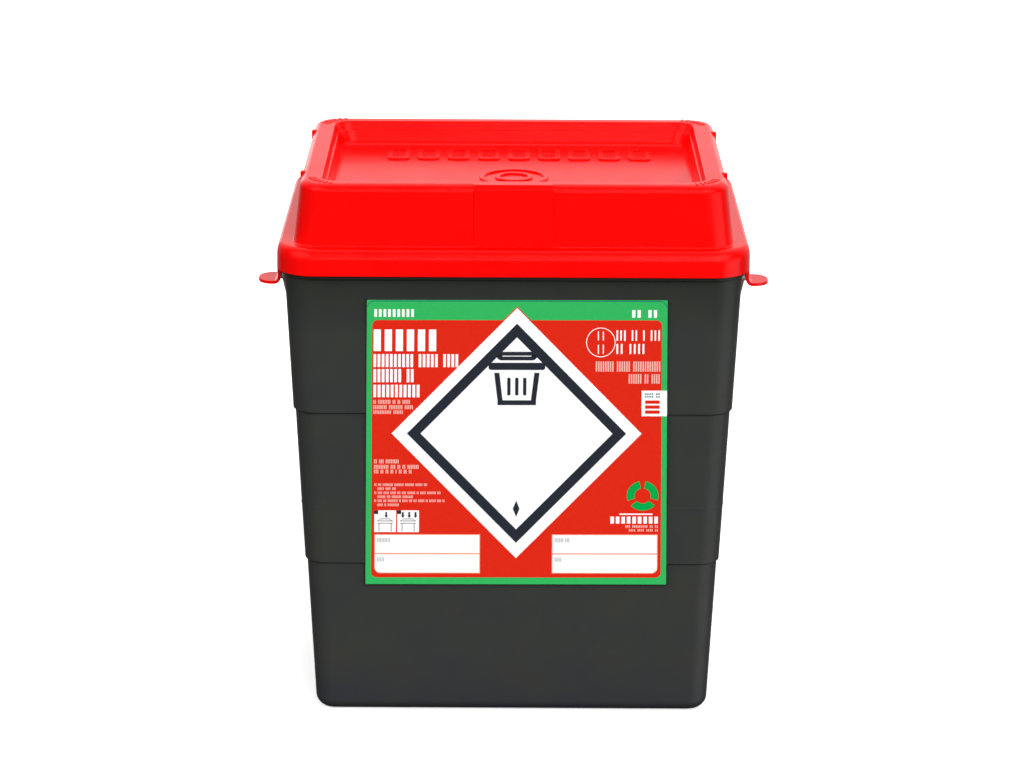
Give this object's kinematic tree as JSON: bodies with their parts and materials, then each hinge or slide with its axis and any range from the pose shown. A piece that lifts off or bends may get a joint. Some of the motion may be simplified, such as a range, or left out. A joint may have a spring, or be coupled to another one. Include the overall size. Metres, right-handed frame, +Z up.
{
  "type": "sharps container",
  "caption": "Rigid plastic bin for used sharps: stepped tapering tub, domed press-on lid with side locating tabs, folding carry handle and a flat printed front panel.",
  "frame": {"origin": "centre of the tub's underside, on the flat pad that it stands on", "axes": "+Z up, -Y towards the labelled front, +X to the right as seen from the front"},
  "size_m": [0.2878, 0.2099, 0.3164],
  "materials": {
    "tub_charcoal": "satin moulded polypropylene",
    "lid_red": "semi-gloss moulded polypropylene",
    "handle_natural": "natural, slightly milky polypropylene",
    "label_print": "printed film"
  },
  "bodies": {
    "tub": {"tub": "tub_charcoal", "front_label": "label_print"},
    "lid": {"lid": "lid_red"},
    "carry_handle": {"carry_handle": "handle_natural"},
    "locating_tab_left": {"locating_tab_left": "lid_red"},
    "locating_tab_right": {"locating_tab_right": "lid_red"},
    "corner_latch_front_left": {"corner_latch_front_left": "lid_red"},
    "corner_latch_front_right": {"corner_latch_front_right": "lid_red"},
    "corner_latch_rear_left": {"corner_latch_rear_left": "lid_red"},
    "corner_latch_rear_right": {"corner_latch_rear_right": "lid_red"}
  },
  "joints": [
    {"name": "lid_lift", "type": "slide", "parent": "tub", "child": "lid", "axis": [0, 0, 1], "range_m": [0, 0.035]},
    {"name": "handle_swing", "type": "hinge", "parent": "tub", "child": "carry_handle", "pos_m": [0, 0, 0.248], "axis": [1, 0, 0], "range_deg": [0, 188]},
    {"name": "tab_flex_left", "type": "hinge", "parent": "lid", "child": "locating_tab_left", "pos_m": [-0.1325, -0.066, 0.2654], "axis": [0, 1, 0], "range_deg": [0, 25], "stiffness_Nm_per_rad": 0.05},
    {"name": "tab_flex_right", "type": "hinge", "parent": "lid", "child": "locating_tab_right", "pos_m": [0.1325, -0.066, 0.2654], "axis": [0, -1, 0], "range_deg": [0, 25], "stiffness_Nm_per_rad": 0.05},
    {"name": "latch_flex_front_left", "type": "hinge", "parent": "lid", "child": "corner_latch_front_left", "pos_m": [-0.12091, -0.08841, 0.2749], "axis": [0.7071, -0.7071, 0], "range_deg": [0, 6], "stiffness_Nm_per_rad": 0.1},
    {"name": "latch_flex_front_right", "type": "hinge", "parent": "lid", "child": "corner_latch_front_right", "pos_m": [0.12091, -0.08841, 0.2749], "axis": [0.7071, 0.7071, 0], "range_deg": [0, 6], "stiffness_Nm_per_rad": 0.1},
    {"name": "latch_flex_rear_left", "type": "hinge", "parent": "lid", "child": "corner_latch_rear_left", "pos_m": [-0.12091, 0.08841, 0.2749], "axis": [-0.7071, -0.7071, 0], "range_deg": [0, 6], "stiffness_Nm_per_rad": 0.1},
    {"name": "latch_flex_rear_right", "type": "hinge", "parent": "lid", "child": "corner_latch_rear_right", "pos_m": [0.12091, 0.08841, 0.2749], "axis": [-0.7071, 0.7071, 0], "range_deg": [0, 6], "stiffness_Nm_per_rad": 0.1}
  ]
}
